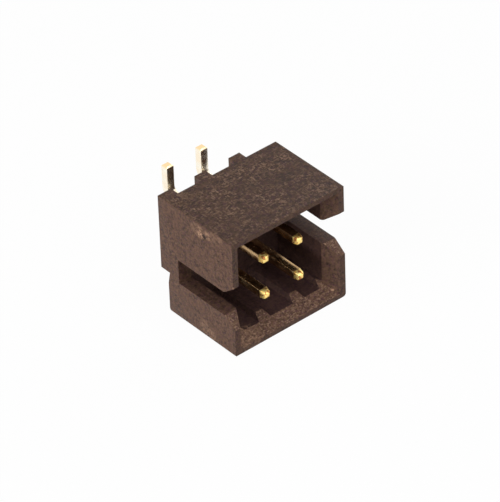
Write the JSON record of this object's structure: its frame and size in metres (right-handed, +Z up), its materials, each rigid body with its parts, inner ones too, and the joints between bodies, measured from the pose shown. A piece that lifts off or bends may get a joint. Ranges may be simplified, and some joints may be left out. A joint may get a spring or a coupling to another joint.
{
  "type": "shrouded pin header",
  "caption": "Shrouded board header with square gold pins in two rows, flared key slots in both side walls and tails bent outward at the rear.",
  "frame": {"origin": "middle of the footprint, on the flat long face that the header rests on", "axes": "+X across the mouth to the right as seen from the mouth, the mouth faces -Y and the tails end at +Y, +Z up through both pin rows"},
  "size_m": [0.0082, 0.0092, 0.0077],
  "materials": {
    "moulded_housing": "moulded, matt, mottled dark brown with pale fibres",
    "contact_metal": "gold plated"
  },
  "bodies": {
    "root": {"housing": "moulded_housing", "contact_upper_left": "contact_metal", "contact_upper_right": "contact_metal", "contact_lower_left": "contact_metal", "contact_lower_right": "contact_metal"}
  },
  "joints": []
}
